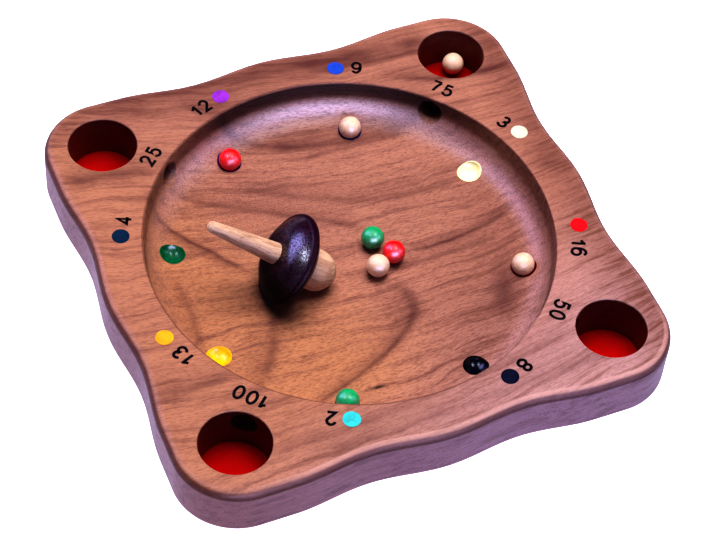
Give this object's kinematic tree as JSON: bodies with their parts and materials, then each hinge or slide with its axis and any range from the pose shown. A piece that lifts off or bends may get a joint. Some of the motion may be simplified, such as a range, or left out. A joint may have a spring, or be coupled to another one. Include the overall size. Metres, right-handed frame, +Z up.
{
  "type": "spinning top board game",
  "caption": "Wavy square wooden board with a round bowl, corner pockets reached by tunnels, painted cups, small wooden balls and a hand-spun top.",
  "frame": {"origin": "middle of the board's flat underside", "axes": "+Z up, +X from the pocket marked 100 to the pocket marked 50, +Y from the pocket marked 100 to the pocket marked 25"},
  "size_m": [0.218, 0.218, 0.0471],
  "materials": {
    "walnut_brown": "oiled satin",
    "felt_red": "felt",
    "paint_cream": "gloss enamel paint",
    "paint_blue": "gloss enamel paint",
    "paint_violet": "gloss enamel paint",
    "paint_green": "gloss enamel paint",
    "paint_yellow": "gloss enamel paint",
    "paint_cyan": "gloss enamel paint",
    "paint_black": "gloss enamel paint",
    "paint_red": "gloss enamel paint",
    "paint_white": "gloss enamel paint",
    "paint_petrol": "gloss enamel paint",
    "paint_amber": "gloss enamel paint",
    "ball_natural": "clear lacquer",
    "ball_red": "gloss lacquer",
    "ball_green": "gloss lacquer",
    "beech": "sanded satin",
    "lacquer_dark": "dark gloss lacquer"
  },
  "bodies": {
    "board": {"board": "walnut_brown", "felt_75": "felt_red", "felt_25": "felt_red", "felt_100": "felt_red", "felt_50": "felt_red", "cup_paint_3": "paint_cream", "cup_paint_9": "paint_blue", "cup_paint_12": "paint_violet", "cup_paint_4": "paint_green", "cup_paint_13": "paint_yellow", "cup_paint_2": "paint_cyan", "cup_paint_8": "paint_black", "cup_paint_16": "paint_red", "rim_dot_3": "paint_white", "rim_dot_9": "paint_blue", "rim_dot_12": "paint_violet", "rim_dot_4": "paint_petrol", "rim_dot_13": "paint_amber", "rim_dot_2": "paint_cyan", "rim_dot_8": "paint_black", "rim_dot_16": "paint_red"},
    "ball_natural_9": {"ball_natural_9": "ball_natural"},
    "ball_red_12": {"ball_red_12": "ball_red"},
    "ball_green_2": {"ball_green_2": "ball_green"},
    "ball_natural_16": {"ball_natural_16": "ball_natural"},
    "ball_natural_75": {"ball_natural_75": "ball_natural"},
    "ball_green_loose": {"ball_green_loose": "ball_green"},
    "ball_red_loose": {"ball_red_loose": "ball_red"},
    "ball_natural_loose": {"ball_natural_loose": "ball_natural"},
    "spinning_top": {"top_spindle": "beech", "top_disc": "lacquer_dark"}
  },
  "joints": [
    {"name": "ball_natural_9_lift", "type": "slide", "parent": "board", "child": "ball_natural_9", "axis": [0, 0, 1], "range_m": [0, 0.06]},
    {"name": "ball_red_12_lift", "type": "slide", "parent": "board", "child": "ball_red_12", "axis": [0, 0, 1], "range_m": [0, 0.06]},
    {"name": "ball_green_2_lift", "type": "slide", "parent": "board", "child": "ball_green_2", "axis": [0, 0, 1], "range_m": [0, 0.06]},
    {"name": "ball_natural_16_lift", "type": "slide", "parent": "board", "child": "ball_natural_16", "axis": [0, 0, 1], "range_m": [0, 0.06]},
    {"name": "ball_natural_75_lift", "type": "slide", "parent": "board", "child": "ball_natural_75", "axis": [0, 0, 1], "range_m": [0, 0.06]},
    {"name": "ball_green_loose_lift", "type": "slide", "parent": "board", "child": "ball_green_loose", "axis": [0, 0, 1], "range_m": [0, 0.06]},
    {"name": "ball_red_loose_lift", "type": "slide", "parent": "board", "child": "ball_red_loose", "axis": [0, 0, 1], "range_m": [0, 0.06]},
    {"name": "ball_natural_loose_lift", "type": "slide", "parent": "board", "child": "ball_natural_loose", "axis": [0, 0, 1], "range_m": [0, 0.06]},
    {"name": "top_spin", "type": "hinge", "parent": "board", "child": "spinning_top", "pos_m": [-0.0291, -0.0023, 0.02196], "axis": [-0.7805, 0.2416, 0.5765], "continuous": true}
  ]
}
